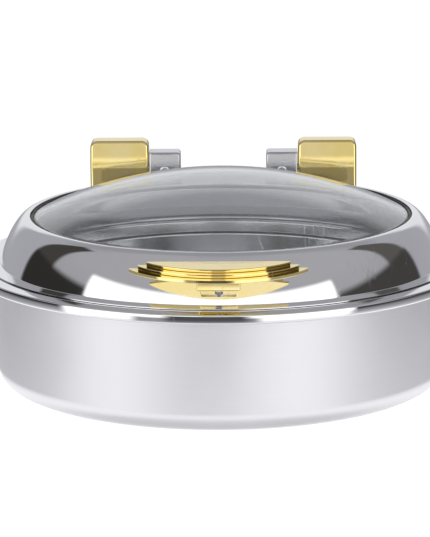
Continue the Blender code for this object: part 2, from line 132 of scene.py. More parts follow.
def mixed(tree, factor, first, second):
    """Colour first where factor is 0 and second where it is 1."""
    node = tree.nodes.new("ShaderNodeMix")
    node.data_type = "RGBA"
    join(tree, factor, node.inputs["Factor"])
    join(tree, first, node.inputs[6])
    join(tree, second, node.inputs[7])
    return node.outputs[2]


card, card_in, card_out = new_group(
    "studio card",
    numbers=(("Azimuth", 0), ("Elevation", 0), ("Centre Azimuth", 0), ("Centre Elevation", 0),
             ("Half Width", 30), ("Half Height", 20), ("Edge", 8)),
    outputs=(("Mask", "NodeSocketFloat"),),
)
across = maths(card, "ABSOLUTE", maths(
    card, "SUBTRACT", card_in.outputs["Azimuth"], card_in.outputs["Centre Azimuth"]))
upward = maths(card, "ABSOLUTE", maths(
    card, "SUBTRACT", card_in.outputs["Elevation"], card_in.outputs["Centre Elevation"]))
in_width = ramp(
    card, maths(card, "SUBTRACT", across, card_in.outputs["Half Width"]),
    maths(card, "MULTIPLY", card_in.outputs["Edge"], -0.5),
    maths(card, "MULTIPLY", card_in.outputs["Edge"], 0.5), 1.0, 0.0)
in_height = ramp(
    card, maths(card, "SUBTRACT", upward, card_in.outputs["Half Height"]),
    maths(card, "MULTIPLY", card_in.outputs["Edge"], -0.5),
    maths(card, "MULTIPLY", card_in.outputs["Edge"], 0.5), 1.0, 0.0)
join(card, maths(card, "MULTIPLY", in_width, in_height), card_out.inputs["Mask"])

# Name, centre azimuth (0 is towards the camera, + to the right), centre elevation, half width,
# half height, soft edge, colour
studio_cards = (
    ("overhead_front", 0, 52, 112, 38, 44, (0.43, 0.43, 0.445)),
    ("rear_left", -152, 18, 34, 24, 10, (0.42, 0.42, 0.45)),
    ("rear_right", 152, 18, 34, 24, 10, (0.42, 0.42, 0.45)),
    ("rear_card_left", -170, 15, 17, 13, 9, (0.84, 0.85, 0.88)),
    ("rear_card_right", 170, 15, 17, 13, 9, (0.84, 0.85, 0.88)),
    ("table_far", 0, -70, 190, 22, 8, (0.68, 0.68, 0.69)),
    ("table_near", 0, -33, 190, 16, 8, (1.22, 1.22, 1.24)),
    ("front_table", 0, -12, 62, 7, 6, (0.34, 0.34, 0.35)),
    ("flag_left_tall", -113, 24, 10, 24, 4, (0.060, 0.056, 0.050)),
    ("flag_left", -98, 4, 25, 15, 4, (0.030, 0.029, 0.027)),
    ("flag_right_tall", 113, 24, 9, 24, 4, (0.110, 0.104, 0.095)),
    ("flag_right", 93, 4, 30, 15, 4, (0.060, 0.058, 0.054)),
    ("front_cards", -6, 8, 69, 19, 3, (1.45, 1.45, 1.45)),
    ("cards_gap", 0, 14, 9, 8, 4, (0.74, 0.74, 0.75)),
    ("card_left_foot", -58, -8, 18, 10, 7, (1.40, 1.40, 1.40)),
    ("card_right_foot", 40, -8, 22, 10, 7, (1.40, 1.40, 1.40)),
    ("camera_gap", -6, -7, 19, 10, 8, (0.085, 0.085, 0.090)),
)
ceiling_colour = (0.34, 0.34, 0.36, 1)

world = bpy.data.worlds.new("studio")
scene.world = world
world.use_nodes = True
room = world.node_tree
room.nodes.clear()
direction = room.nodes.new("ShaderNodeTexCoord")
parts_of_direction = room.nodes.new("ShaderNodeSeparateXYZ")
room.links.new(direction.outputs["Generated"], parts_of_direction.inputs[0])
azimuth = maths(room, "DEGREES", maths(
    room, "ARCTAN2", parts_of_direction.outputs["X"],
    maths(room, "MULTIPLY", parts_of_direction.outputs["Y"], -1.0)))
elevation = maths(room, "DEGREES", maths(room, "ARCSINE", parts_of_direction.outputs["Z"]))
room_colour = ceiling_colour
for name, centre_az, centre_el, half_width, half_height, edge, colour in studio_cards:
    placed_card = room.nodes.new("ShaderNodeGroup")
    placed_card.node_tree = card
    placed_card.label = name
    for label, value in (("Azimuth", azimuth), ("Elevation", elevation),
                         ("Centre Azimuth", centre_az), ("Centre Elevation", centre_el),
                         ("Half Width", half_width), ("Half Height", half_height),
                         ("Edge", edge)):
        join(room, value, placed_card.inputs[label])
    room_colour = mixed(room, placed_card.outputs["Mask"], room_colour, (*colour, 1))
room_light = room.nodes.new("ShaderNodeBackground")
room.links.new(room_colour, room_light.inputs["Color"])
white_backdrop = room.nodes.new("ShaderNodeBackground")
white_backdrop.inputs["Color"].default_value = (1, 1, 1, 1)
seen_by_camera = room.nodes.new("ShaderNodeLightPath")
backdrop_mix = room.nodes.new("ShaderNodeMixShader")
room.links.new(seen_by_camera.outputs["Is Camera Ray"], backdrop_mix.inputs[0])
room.links.new(room_light.outputs[0], backdrop_mix.inputs[1])
room.links.new(white_backdrop.outputs[0], backdrop_mix.inputs[2])
world_end = room.nodes.new("ShaderNodeOutputWorld")
room.links.new(backdrop_mix.outputs[0], world_end.inputs["Surface"])

# The floor is a plain white sheet; the dish's polished parts see the studio's table through it.
floor_reach = 6.0
floor_mesh = bpy.data.meshes.new("floor")
floor_mesh.from_pydata(
    [(x * floor_reach, y * floor_reach, -0.0004) for x, y in ((-1, -1), (1, -1), (1, 1), (-1, 1))],
    [], [(0, 1, 2, 3)])
floor = bpy.data.objects.new("floor", floor_mesh)
scene.collection.objects.link(floor)
floor_look = bpy.data.materials.new("white floor")
floor_look.use_nodes = True
tree = floor_look.node_tree
tree.nodes.clear()
floor_paint = tree.nodes.new("ShaderNodeBsdfDiffuse")
floor_paint.inputs["Color"].default_value = (0.34, 0.34, 0.34, 1)
floor_glow = tree.nodes.new("ShaderNodeEmission")
floor_glow.inputs["Color"].default_value = (1, 1, 1, 1)
floor_glow.inputs["Strength"].default_value = 0.86
floor_sum = tree.nodes.new("ShaderNodeAddShader")
tree.links.new(floor_paint.outputs[0], floor_sum.inputs[0])
tree.links.new(floor_glow.outputs[0], floor_sum.inputs[1])
floor_clear = tree.nodes.new("ShaderNodeBsdfTransparent")
floor_path = tree.nodes.new("ShaderNodeLightPath")
floor_mix = tree.nodes.new("ShaderNodeMixShader")
tree.links.new(floor_path.outputs["Is Camera Ray"], floor_mix.inputs[0])
tree.links.new(floor_clear.outputs[0], floor_mix.inputs[1])
tree.links.new(floor_sum.outputs[0], floor_mix.inputs[2])
floor_end = tree.nodes.new("ShaderNodeOutputMaterial")
tree.links.new(floor_mix.outputs[0], floor_end.inputs["Surface"])
floor_mesh.materials.append(floor_look)


# ---------------------------------------------------------------------------------------------
# Water bowl: one deep drawn sheet of stainless steel, 400 mm across, with a straight wall and
# a round bottom corner. Its outside is brushed round and round on a lathe, then wiped clean.
# ---------------------------------------------------------------------------------------------
def use_group(tree, group, **values):
    """Place a node group in a material; underscores in the names stand for spaces."""
    node = tree.nodes.new("ShaderNodeGroup")
    node.node_tree = group
    for label, value in values.items():
        join(tree, value, node.inputs[label.replace("_", " ")])
    return node.outputs


def noise(tree, vector, scale, detail=3.0, roughness=0.5):
    node = tree.nodes.new("ShaderNodeTexNoise")
    join(tree, vector, node.inputs["Vector"])
    node.inputs["Scale"].default_value = scale
    node.inputs["Detail"].default_value = detail
    node.inputs["Roughness"].default_value = roughness
    return node.outputs["Fac"]


def object_place(tree):
    return tree.nodes.new("ShaderNodeTexCoord").outputs["Object"]


def combined(tree, *values):
    node = tree.nodes.new("ShaderNodeCombineXYZ")
    for value, socket in zip(values, node.inputs):
        join(tree, value, socket)
    return node.outputs[0]


# Lathe marks run round the dish's own axis: fast changes across them, slow ones along them.
lathe_marks, marks_in, marks_out = new_group(
    "lathe marks",
    numbers=(("Fineness", 900), ("Length", 3)),
    outputs=(("Streak", "NodeSocketFloat"), ("Broad", "NodeSocketFloat")),
)
split = lathe_marks.nodes.new("ShaderNodeSeparateXYZ")
lathe_marks.links.new(object_place(lathe_marks), split.inputs[0])
turn_angle = maths(lathe_marks, "ARCTAN2", split.outputs["X"], split.outputs["Y"])
reach = maths(lathe_marks, "SQRT", maths(
    lathe_marks, "ADD",
    maths(lathe_marks, "MULTIPLY", split.outputs["X"], split.outputs["X"]),
    maths(lathe_marks, "MULTIPLY", split.outputs["Y"], split.outputs["Y"])))
run_across = maths(lathe_marks, "ADD", reach, split.outputs["Z"])
along_x = maths(lathe_marks, "MULTIPLY", maths(lathe_marks, "SINE", turn_angle),
                marks_in.outputs["Length"])
along_y = maths(lathe_marks, "MULTIPLY", maths(lathe_marks, "COSINE", turn_angle),
                marks_in.outputs["Length"])
fine_spot = combined(lathe_marks, along_x, along_y, maths(
    lathe_marks, "MULTIPLY", run_across, marks_in.outputs["Fineness"]))
broad_spot = combined(lathe_marks, along_x, along_y, maths(
    lathe_marks, "MULTIPLY", run_across, maths(
        lathe_marks, "MULTIPLY", marks_in.outputs["Fineness"], 0.08)))
join(lathe_marks, noise(lathe_marks, fine_spot, 1.0, 4.0, 0.65), marks_out.inputs["Streak"])
join(lathe_marks, noise(lathe_marks, broad_spot, 1.0, 3.0, 0.55), marks_out.inputs["Broad"])

# Hand marks: cloudy wipe marks, small dried drops and thin scratches from use and cleaning.
hand_marks, hand_in, hand_out = new_group(
    "hand marks",
    numbers=(("Cloud Size", 14), ("Scratch Size", 60), ("Drop Size", 160)),
    outputs=(("Cloud", "NodeSocketFloat"), ("Scratch", "NodeSocketFloat"),
             ("Drop", "NodeSocketFloat")),
)
spot = object_place(hand_marks)
cloud_noise = noise(hand_marks, vector_maths(
    hand_marks, "MULTIPLY", spot, combined(hand_marks, *[hand_in.outputs["Cloud Size"]] * 3)),
    1.0, 4.0, 0.6)
join(hand_marks, ramp(hand_marks, cloud_noise, 0.42, 0.68), hand_out.inputs["Cloud"])
scratches = None
for lean_x, lean_y, lean_z in ((0.4, 0.2, 0.9), (1.9, 0.7, -0.5), (-0.8, 1.3, 2.2)):
    turned_spot = hand_marks.nodes.new("ShaderNodeMapping")
    hand_marks.links.new(spot, turned_spot.inputs["Vector"])
    turned_spot.inputs["Rotation"].default_value = (lean_x, lean_y, lean_z)
    turned_spot.inputs["Scale"].default_value = (1.0, 1.0, 0.05)
    stretched = vector_maths(
        hand_marks, "MULTIPLY", turned_spot.outputs[0],
        combined(hand_marks, *[hand_in.outputs["Scratch Size"]] * 3))
    line = maths(hand_marks, "ABSOLUTE", maths(
        hand_marks, "SUBTRACT", noise(hand_marks, stretched, 1.0, 2.0, 0.5), 0.5))
    thin = ramp(hand_marks, line, 0.0, 0.006, 1.0, 0.0)
    broken = ramp(hand_marks, noise(hand_marks, stretched, 0.31, 2.0, 0.5), 0.52, 0.62)
    thin = maths(hand_marks, "MULTIPLY", thin, broken)
    scratches = thin if scratches is None else maths(hand_marks, "MAXIMUM", scratches, thin)
join(hand_marks, scratches, hand_out.inputs["Scratch"])
drops = hand_marks.nodes.new("ShaderNodeTexVoronoi")
hand_marks.links.new(vector_maths(
    hand_marks, "MULTIPLY", spot, combined(hand_marks, *[hand_in.outputs["Drop Size"]] * 3)),
    drops.inputs["Vector"])
drops.inputs["Scale"].default_value = 1.0
drop_ring = ramp(hand_marks, maths(hand_marks, "ABSOLUTE", maths(
    hand_marks, "SUBTRACT", drops.outputs["Distance"], 0.16)), 0.0, 0.05, 1.0, 0.0)
few = hand_marks.nodes.new("ShaderNodeSeparateColor")
hand_marks.links.new(drops.outputs["Color"], few.inputs[0])
join(hand_marks, maths(hand_marks, "MULTIPLY", drop_ring, ramp(
    hand_marks, few.outputs[0], 0.86, 0.93)), hand_out.inputs["Drop"])

# Edge wear: where a surface bends sharply the finish is rubbed brighter by cloths and hands.
edge_wear, wear_in, wear_out = new_group(
    "edge wear",
    numbers=(("Start", 0.52), ("Full", 0.60)),
    outputs=(("Worn", "NodeSocketFloat"),),
)
bend = edge_wear.nodes.new("ShaderNodeNewGeometry").outputs["Pointiness"]
patchy = noise(edge_wear, object_place(edge_wear), 180.0, 3.0, 0.6)
join(edge_wear, maths(edge_wear, "MULTIPLY", ramp(
    edge_wear, bend, wear_in.outputs["Start"], wear_in.outputs["Full"]),
    ramp(edge_wear, patchy, 0.25, 0.7, 0.35, 1.0)), wear_out.inputs["Worn"])


def metal(name, colour, roughness, anisotropy=0.0):
    """A bare metal with its node tree, shader and named sockets ready for detail."""
    look = bpy.data.materials.new(name)
    look.use_nodes = True
    shader = look.node_tree.nodes["Principled BSDF"]
    shader.inputs["Base Color"].default_value = (*colour, 1)
    shader.inputs["Metallic"].default_value = 1.0
    shader.inputs["Roughness"].default_value = roughness
    shader.inputs["Anisotropic"].default_value = anisotropy
    return look, look.node_tree, shader.inputs


def bumped(tree, height, depth, sockets, strength=1.0):
    """Give the shader a bump of the given depth in metres."""
    node = tree.nodes.new("ShaderNodeBump")
    node.inputs["Distance"].default_value = depth
    node.inputs["Strength"].default_value = strength
    join(tree, height, node.inputs["Height"])
    tree.links.new(node.outputs["Normal"], sockets["Normal"])


def blended(tree, *pairs):
    """The sum of each value times its share."""
    total = None
    for value, share in pairs:
        part = maths(tree, "MULTIPLY", value, share)
        total = part if total is None else maths(tree, "ADD", total, part)
    return total


weld_reach = 0.000002


def spun(name, outline, look, segments=256, sharp=38.0, join_ends=True):
    """Turn an outline of (radius, height) points round the dish's axis; ends on the axis close."""
    verts, faces, rows = [], [], []
    for radius, height in outline:
        if radius < 1e-7:
            rows.append([len(verts)] * segments)
            verts.append((0.0, 0.0, height))
            continue
        rows.append([len(verts) + i for i in range(segments)])
        for i in range(segments):
            a = 2 * math.pi * i / segments
            verts.append((radius * math.cos(a), radius * math.sin(a), height))
    pairs = list(zip(rows, rows[1:]))
    if join_ends and outline[0][0] > 1e-7:
        pairs.append((rows[-1], rows[0]))
    for upper, lower in pairs:
        for i in range(segments):
            k = (i + 1) % segments
            corners = [upper[i], lower[i], lower[k], upper[k]]
            ring = [c for n, c in enumerate(corners) if c not in corners[:n]]
            if len(ring) > 2:
                faces.append(ring)
    mesh = bpy.data.meshes.new(name)
    mesh.from_pydata(verts, [], faces)
    return finished(name, mesh, look, sharp)


def finished(name, mesh, look, sharp=38.0):
    """Close and clean the mesh, turn its faces outwards, give it its look and link it."""
    shape = bmesh.new()
    shape.from_mesh(mesh)
    bmesh.ops.remove_doubles(shape, verts=shape.verts, dist=weld_reach)
    open_edges = [edge for edge in shape.edges if edge.is_boundary]
    bmesh.ops.holes_fill(shape, edges=open_edges, sides=4)
    bmesh.ops.recalc_face_normals(shape, faces=shape.faces)
    if shape.calc_volume(signed=True) < 0:
        bmesh.ops.reverse_faces(shape, faces=shape.faces)
    shape.to_mesh(mesh)
    shape.free()
    mesh.materials.clear()
    mesh.materials.append(look)
    mesh.shade_smooth()
    mesh.set_sharp_from_angle(angle=math.radians(sharp))
    piece = bpy.data.objects.new(name, mesh)
    scene.collection.objects.link(piece)
    return piece


def eased(corners, steps=8):
    """Points of a bent line; each corner is (radius, height, size of its rounding)."""
    points = []
    for n, (x, z, size) in enumerate(corners):
        here = Vector((x, z))
        if size == 0 or n in (0, len(corners) - 1):
            points.append((x, z))
            continue
        back = (Vector(corners[n - 1][:2]) - here).normalized()
        ahead = (Vector(corners[n + 1][:2]) - here).normalized()
        half = back.angle(ahead) / 2
        centre = here + (back + ahead).normalized() * size / math.sin(half)
        start = here + back * size / math.tan(half) - centre
        end = here + ahead * size / math.tan(half) - centre
        sweep = start.angle(end)
        for i in range(steps + 1):
            share = i / steps
            spot = (start * math.sin((1 - share) * sweep) + end * math.sin(share * sweep))
            spot = centre + spot / math.sin(sweep)
            points.append((spot.x, spot.y))
    return points


def sheet_outline(line, thickness, lip_steps=4):
    """A closed outline for sheet metal whose outer face is line, with round cut edges.

    The thickness lies on the left of the line's run; ends on the axis stay open.
    """
    inner = []
    for n, (x, z) in enumerate(line):
        here = Vector((x, z))
        before = (here - Vector(line[n - 1])).normalized() if n else None
        after = (Vector(line[n + 1]) - here).normalized() if n < len(line) - 1 else None
        before, after = before or after, after or before
        left = Vector((-(before + after).y, (before + after).x)).normalized()
        stretch = 1 / max(0.5, left.dot(Vector((-after.y, after.x))))
        inner.append(tuple(here + left * thickness * stretch))

    def lip(first, last):
        if first[0] < 1e-7:
            return []
        middle = (Vector(first) + Vector(last)) / 2
        arm = Vector(first) - middle
        side = Vector((-arm.y, arm.x))
        return [
            tuple(middle + arm * math.cos(a) + side * math.sin(a) * 0.5)
            for a in (math.pi * i / lip_steps for i in range(1, lip_steps))
        ]

    return line + lip(line[-1], inner[-1]) + inner[::-1] + lip(inner[0], line[0])


sheet = 0.0010
bowl_low, bowl_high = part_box("water_pan")
bowl_r = 0.2000
bowl_corner = 0.0180

bowl_steel, tree, sockets = metal("brushed bowl steel", (0.80, 0.79, 0.815), 0.34, 0.35)
marks = use_group(tree, lathe_marks, Fineness=2600.0, Length=2.2)
hands = use_group(tree, hand_marks, Cloud_Size=9.0, Scratch_Size=26.0, Drop_Size=70.0)
worn = use_group(tree, edge_wear, Start=0.53, Full=0.62)
tangent = tree.nodes.new("ShaderNodeTangent")
tangent.direction_type = "RADIAL"
tangent.axis = "Z"
tree.links.new(tangent.outputs[0], sockets["Tangent"])
join(tree, mixed(tree, blended(
    tree, (marks["Streak"], 0.7), (hands["Cloud"], 0.25), (worn["Worn"], 0.6)),
    (0.745, 0.735, 0.765, 1), (0.84, 0.83, 0.85, 1)), sockets["Base Color"])
join(tree, blended(
    tree, (1.0, 0.38), (marks["Streak"], 0.08), (marks["Broad"], 0.03), (hands["Cloud"], 0.025),
    (hands["Drop"], 0.05), (worn["Worn"], -0.04)), sockets["Roughness"])
bumped(tree, blended(
    tree, (marks["Streak"], 1.0), (hands["Scratch"], -0.6)), 0.000012, sockets)

water_bowl = spun(
    "water_bowl",
    sheet_outline(
        [(0.0, bowl_low.z)]
        + eased([(0.10, bowl_low.z, 0), (bowl_r, bowl_low.z, bowl_corner),
                 (bowl_r, bowl_high.z, 0)], 18),
        sheet),
    bowl_steel, join_ends=False)
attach(water_bowl, "base")
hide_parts("water_pan")


# ---------------------------------------------------------------------------------------------
# Base plate and heat spreader: an aluminium disc brazed under the bowl, held in a shallow cap
# of magnetic steel so that the dish works on an induction hob. The cap is coarsely brushed.
# ---------------------------------------------------------------------------------------------
cap_low, cap_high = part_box("induction_plate")
cap_r = cap_high.x
cap_lip = 0.0008
cap_steel, tree, sockets = metal("induction cap steel", (0.60, 0.60, 0.61), 0.38, 0.3)
marks = use_group(tree, lathe_marks, Fineness=1500.0, Length=1.6)
hands = use_group(tree, hand_marks, Cloud_Size=12.0, Scratch_Size=22.0, Drop_Size=60.0)
worn = use_group(tree, edge_wear, Start=0.52, Full=0.60)
join(tree, mixed(tree, blended(tree, (marks["Streak"], 0.7), (hands["Scratch"], 0.8),
                               (worn["Worn"], 0.6)),
                 (0.50, 0.50, 0.51, 1), (0.70, 0.70, 0.71, 1)), sockets["Base Color"])
join(tree, blended(tree, (1.0, 0.30), (marks["Streak"], 0.14), (hands["Cloud"], 0.06)),
     sockets["Roughness"])
bumped(tree, blended(tree, (marks["Streak"], 1.0), (hands["Scratch"], -1.5)), 0.00002, sockets)
base_cap = spun(
    "base_cap",
    sheet_outline(
        [(0.0, cap_low.z)] + eased([(0.10, cap_low.z, 0), (cap_r, cap_low.z, cap_lip),
                                    (cap_r, cap_high.z, 0)], 5),
        sheet),
    cap_steel, join_ends=False)
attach(base_cap, "base")
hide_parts("induction_plate")

spreader_look, tree, sockets = metal("rolled aluminium", (0.78, 0.79, 0.80), 0.42)
marks = use_group(tree, lathe_marks, Fineness=900.0, Length=1.2)
hands = use_group(tree, hand_marks, Cloud_Size=20.0)
join(tree, mixed(tree, marks["Broad"], (0.68, 0.69, 0.70, 1), (0.84, 0.85, 0.86, 1)),
     sockets["Base Color"])
join(tree, blended(tree, (1.0, 0.36), (hands["Cloud"], 0.12)), sockets["Roughness"])
bumped(tree, marks["Streak"], 0.00002, sockets)
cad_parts["heat_spreader"].data.materials[0] = spreader_look


# ---------------------------------------------------------------------------------------------
# Rim ring: a pressed and mirror polished steel ring welded on the bowl's edge. It carries the
# food pan on an inner ledge, the lid on a flat seat, and ends in an upright band 441 mm across.
# ---------------------------------------------------------------------------------------------
rim_low, rim_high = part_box("rim_ring")
rim_r = 0.2205
rim_seat_out = 0.2090
ledge_in = 0.1835
ledge_out = 0.1945
ledge_drop = 0.0031
rim_fall = 0.0011
rim_top = rim_high.z

mirror_steel, tree, sockets = metal("mirror polished steel", (0.82, 0.82, 0.835), 0.04)
hands = use_group(tree, hand_marks, Cloud_Size=11.0, Scratch_Size=34.0, Drop_Size=90.0)
marks = use_group(tree, lathe_marks, Fineness=1400.0, Length=1.4)
worn = use_group(tree, edge_wear, Start=0.53, Full=0.62)
join(tree, mixed(tree, blended(tree, (hands["Cloud"], 0.5), (hands["Scratch"], 0.5)),
                 (0.83, 0.83, 0.845, 1), (0.775, 0.775, 0.79, 1)), sockets["Base Color"])
join(tree, blended(
    tree, (1.0, 0.022), (hands["Cloud"], 0.030), (hands["Scratch"], 0.14), (hands["Drop"], 0.10),
    (marks["Broad"], 0.012), (worn["Worn"], 0.02)), sockets["Roughness"])
bumped(tree, blended(
    tree, (marks["Broad"], 0.5), (hands["Scratch"], -0.6)), 0.000004, sockets)

rim = spun(
    "polished_rim",
    sheet_outline(
        eased([
            (rim_r - 0.0016, rim_low.z, 0),
            (rim_r, rim_low.z, 0.0012),
            (rim_r, rim_top - rim_fall, 0.0019),
            (rim_seat_out, rim_top, 0.0060),
            (ledge_out + 0.0015, rim_top, 0.0009),
            (ledge_out, rim_top - ledge_drop, 0.0006),
            (ledge_in, rim_top - ledge_drop, 0),
        ], 8),
        sheet),
    mirror_steel)
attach(rim, "base")
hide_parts("rim_ring")


# ---------------------------------------------------------------------------------------------
# Hinge brackets and dampers: steel channels, folded from plate and welded low on the bowl's
# back wall, reach up into the covers. A sealed slow-close damper sits between their cheeks.
# ---------------------------------------------------------------------------------------------
satin_steel, tree, sockets = metal("satin steel", (0.62, 0.62, 0.635), 0.20)
hands = use_group(tree, hand_marks, Cloud_Size=30.0, Scratch_Size=70.0, Drop_Size=180.0)
worn = use_group(tree, edge_wear, Start=0.52, Full=0.58)
grain_place = tree.nodes.new("ShaderNodeMapping")
tree.links.new(object_place(tree), grain_place.inputs["Vector"])
grain_place.inputs["Scale"].default_value = (60.0, 900.0, 900.0)
grain = noise(tree, grain_place.outputs[0], 1.0, 3.0, 0.6)
join(tree, mixed(tree, blended(tree, (grain, 0.6), (worn["Worn"], 0.7)),
                 (0.56, 0.56, 0.575, 1), (0.72, 0.72, 0.735, 1)), sockets["Base Color"])
join(tree, blended(tree, (1.0, 0.12), (grain, 0.12), (hands["Cloud"], 0.05),
                   (hands["Scratch"], 0.12), (worn["Worn"], -0.03)), sockets["Roughness"])
bumped(tree, blended(tree, (grain, 1.0), (hands["Scratch"], -1.0)), 0.000006, sockets)

damper_plastic = bpy.data.materials.new("moulded black plastic")
damper_plastic.use_nodes = True
tree = damper_plastic.node_tree
sockets = tree.nodes["Principled BSDF"].inputs
sockets["Base Color"].default_value = (0.035, 0.035, 0.040, 1)
hands = use_group(tree, hand_marks, Cloud_Size=60.0, Scratch_Size=120.0)
worn = use_group(tree, edge_wear, Start=0.52, Full=0.58)
join(tree, mixed(tree, worn["Worn"], (0.030, 0.030, 0.034, 1), (0.10, 0.10, 0.105, 1)),
     sockets["Base Color"])
join(tree, blended(tree, (1.0, 0.42), (hands["Cloud"], 0.12), (hands["Scratch"], -0.15)),
     sockets["Roughness"])
bumped(tree, noise(tree, object_place(tree), 2200.0, 2.0), 0.00003, sockets)

for word in ("left", "right"):
    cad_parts["hinge_bracket_" + word].data.materials[0] = satin_steel
    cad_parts["hinge_damper_" + word].data.materials[0] = damper_plastic


# ---------------------------------------------------------------------------------------------
# Hinge covers: pressed steel caps, bright gold plated, with generous round edges. Each drops
# over its bracket from above and is held by one small screw from behind.
# ---------------------------------------------------------------------------------------------
def cuboid(name, low, high, look, rounding=0.0, segments=6, edges=None):
    """A block with rounded edges; edges picks which of them, by a test of both ends."""
    shape = bmesh.new()
    bmesh.ops.create_cube(shape, size=1.0)
    size, middle = Vector(high) - Vector(low), (Vector(high) + Vector(low)) / 2
    bmesh.ops.scale(shape, vec=size, verts=shape.verts)
    bmesh.ops.translate(shape, vec=middle, verts=shape.verts)
    if rounding:
        chosen = [e for e in shape.edges if edges is None or edges(e.verts[0].co, e.verts[1].co)]
        bmesh.ops.bevel(shape, geom=chosen, offset=rounding, segments=segments, profile=0.5,
                        affect="EDGES", clamp_overlap=True)
    mesh = bpy.data.meshes.new(name)
    shape.to_mesh(mesh)
    shape.free()
    return finished(name, mesh, look)


def shaped(piece, *steps):
    """Cut or join pieces for good; each step is (operation, other piece)."""
    for operation, tool in steps:
        step = piece.modifiers.new(operation, "BOOLEAN")
        step.operation = operation
        step.solver = "EXACT"
        step.object = tool
    bpy.context.view_layer.update()
    seen = piece.evaluated_get(bpy.context.evaluated_depsgraph_get())
    mesh = bpy.data.meshes.new_from_object(seen)
    piece.modifiers.clear()
    look = piece.data.materials[0]
    name = piece.name
    bpy.data.objects.remove(piece)
    for _, tool in steps:
        if tool.name in scene.collection.objects:
            bpy.data.objects.remove(tool)
    made = finished(name, mesh, look)
    made.name = name
    return made


def sides(side, low, high):
    """A block's corners, given for the right-hand side, on the side +1 or -1."""
    xs = sorted((side * low[0], side * high[0]))
    return (xs[0], low[1], low[2]), (xs[1], high[1], high[2])


def cap_block(name, side, xs, ys, zs, crease, corners, ease, look):
    """A block with round top corners seen from the front, its front leaning back above a crease.

    corners holds the radius of the top corner nearer the middle plane and of the outer one.
    """
    low, top = zs
    loop = eased([(xs[0], low, 0), (xs[0], crease, 0), (xs[0], top, corners[0]),
                  (xs[1], top, corners[1]), (xs[1], crease, 0), (xs[1], low, 0)], 9)
    shape = bmesh.new()
    front = [shape.verts.new((side * x, ys[0] + max(0.0, z - crease) * face_lean, z))
             for x, z in loop]
    back = [shape.verts.new((side * x, ys[1], z)) for x, z in loop]
    shape.faces.new(front[1:-1])
    shape.faces.new((front[0], front[1], front[-2], front[-1]))
    shape.faces.new(back)
    for n in range(len(loop)):
        k = (n + 1) % len(loop)
        shape.faces.new((front[n], front[k], back[k], back[n]))
    bmesh.ops.recalc_face_normals(shape, faces=shape.faces)
    outer = [e for corners_in_turn in (front, back)
             for e in (shape.edges.get(pair) for pair in zip(corners_in_turn, corners_in_turn[1:]))]
    bmesh.ops.bevel(shape, geom=outer, offset=ease, segments=6, profile=0.5, affect="EDGES")
    mesh = bpy.data.meshes.new(name)
    shape.to_mesh(mesh)
    shape.free()
    return finished(name, mesh, look)


def even_shading(piece, broad=0.0001):
    """Let the broad flat faces set the shading, and keep the creases between them crisp."""
    shape = bmesh.new()
    shape.from_mesh(piece.data)
    for edge in shape.edges:
        if len(edge.link_faces) == 2 and min(f.calc_area() for f in edge.link_faces) > broad:
            edge.smooth = edge.smooth and edge.calc_face_angle() < math.radians(5)
    shape.to_mesh(piece.data)
    shape.free()
    even = piece.modifiers.new("even shading", "WEIGHTED_NORMAL")
    even.keep_sharp = True
    even.weight = 100


def rod(name, start, run, radius, look, segments=48, ease=0.0):
    """A turned rod from start along run, with both ends eased."""
    length = run.length
    outline = [(0, 0), (radius - ease, 0), (radius, ease), (radius, length - ease),
               (radius - ease, length), (0, length)]
    if not ease:
        outline = [(0, 0), (radius, 0), (radius, length), (0, length)]
    piece = spun(name, outline, look, segments=segments, join_ends=False)
    turn = Vector((0, 0, 1)).rotation_difference(run.normalized()).to_matrix().to_4x4()
    piece.data.transform(Matrix.Translation(start) @ turn)
    return piece


gold_plate, tree, sockets = metal("bright gold plate", (0.90, 0.72, 0.33), 0.06)
hands = use_group(tree, hand_marks, Cloud_Size=26.0, Scratch_Size=60.0, Drop_Size=170.0)
worn = use_group(tree, edge_wear, Start=0.52, Full=0.62)
ripple = noise(tree, object_place(tree), 34.0, 2.0, 0.45)
join(tree, mixed(tree, blended(tree, (hands["Cloud"], 0.45), (worn["Worn"], 0.7)),
                 (0.90, 0.72, 0.27, 1), (0.94, 0.80, 0.46, 1)), sockets["Base Color"])
join(tree, blended(tree, (1.0, 0.055), (hands["Cloud"], 0.030), (hands["Scratch"], 0.12),
                   (hands["Drop"], 0.08), (worn["Worn"], 0.02)), sockets["Roughness"])
bumped(tree, blended(tree, (ripple, 1.0), (hands["Scratch"], -0.02)), 0.00022, sockets, 0.6)

